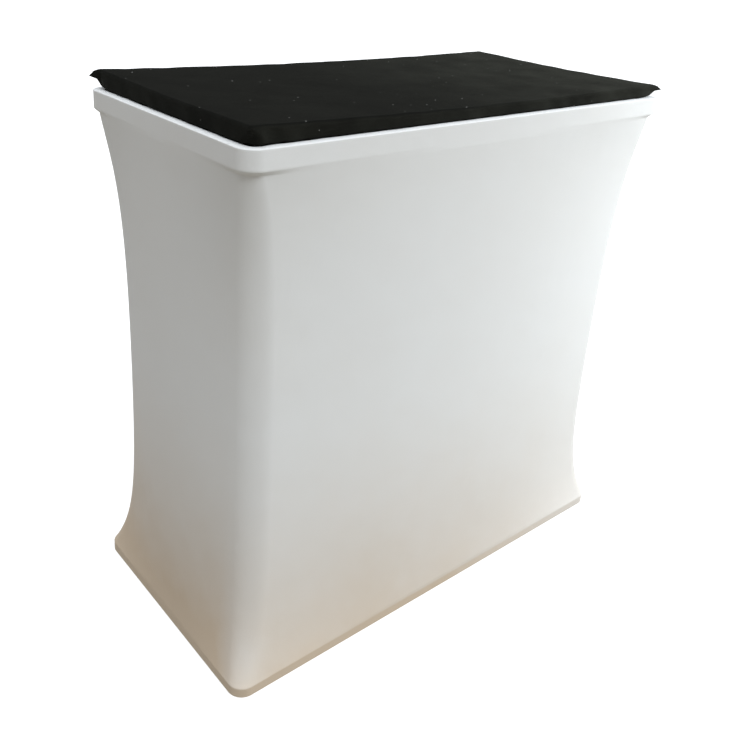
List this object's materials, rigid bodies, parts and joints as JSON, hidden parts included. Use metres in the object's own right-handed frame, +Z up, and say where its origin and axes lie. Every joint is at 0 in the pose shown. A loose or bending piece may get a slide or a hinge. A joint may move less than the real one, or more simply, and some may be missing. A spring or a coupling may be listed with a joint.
{
  "type": "exhibition counter",
  "caption": "Free-standing exhibition counter: white stretch-fabric sleeve drawn in between a base board and a raised lip, with a loose black covered lid.",
  "frame": {"origin": "on the floor, under the middle of the counter", "axes": "+X along the wide front, to the right as seen from the front; +Y towards the back, where the zip is; +Z up"},
  "size_m": [1, 0.5071, 1.005],
  "materials": {
    "sleeve_fabric": "matt white stretch knit",
    "lid_fabric": "black brushed loop fabric",
    "board": "plain fibreboard",
    "dark_board": "black faced board",
    "lip_paint": "white painted",
    "glide_rubber": "soft rubber",
    "elastic": "woven elastic",
    "black_elastic": "woven elastic",
    "bolt_steel": "zinc plated",
    "post_aluminium": "satin anodised",
    "socket_plastic": "moulded, fine grain",
    "zip_tape": "woven tape",
    "zip_teeth": "moulded",
    "zip_metal": "white enamel over die casting"
  },
  "bodies": {
    "counter": {"base_board": "board", "base_glides": "glide_rubber", "base_socket_back_left": "socket_plastic", "base_socket_back_right": "socket_plastic", "base_socket_bolts": "bolt_steel", "base_socket_front_left": "socket_plastic", "base_socket_front_right": "socket_plastic", "lip_rail_back": "lip_paint", "lip_rail_front": "lip_paint", "lip_rail_left": "lip_paint", "lip_rail_right": "lip_paint", "lower_post_back_left": "post_aluminium", "lower_post_back_right": "post_aluminium", "lower_post_front_left": "post_aluminium", "lower_post_front_right": "post_aluminium", "post_joiner_back_left": "socket_plastic", "post_joiner_back_right": "socket_plastic", "post_joiner_front_left": "socket_plastic", "post_joiner_front_right": "socket_plastic", "shelf": "board", "sleeve": "sleeve_fabric", "sleeve_bottom_elastic": "elastic", "sleeve_top_elastic": "elastic", "top_board": "dark_board", "top_socket_back_left": "socket_plastic", "top_socket_back_right": "socket_plastic", "top_socket_bolts": "bolt_steel", "top_socket_front_left": "socket_plastic", "top_socket_front_right": "socket_plastic", "upper_post_back_left": "post_aluminium", "upper_post_back_right": "post_aluminium", "upper_post_front_left": "post_aluminium", "upper_post_front_right": "post_aluminium", "zip_bottom_stop": "zip_teeth", "zip_tape_left": "zip_tape", "zip_tape_right": "zip_tape", "zip_teeth_left": "zip_teeth", "zip_teeth_right": "zip_teeth", "zip_top_stops": "zip_teeth"},
    "lid": {"lid_board": "board", "lid_cover": "lid_fabric", "lid_elastic": "black_elastic"},
    "zip_slider": {"zip_slider": "zip_metal"},
    "zip_pull": {"zip_pull": "zip_metal"}
  },
  "joints": [
    {"name": "lid_lift", "type": "slide", "parent": "counter", "child": "lid", "axis": [0, 0, 1], "range_m": [0, 0.15]},
    {"name": "zip_slide", "type": "slide", "parent": "counter", "child": "zip_slider", "axis": [0, 0, -1], "range_m": [0, 0.821]},
    {"name": "zip_pull_swing", "type": "hinge", "parent": "zip_slider", "child": "zip_pull", "pos_m": [0, 0.25235, 0.8912], "axis": [1, 0, 0], "range_deg": [0, 160]}
  ]
}
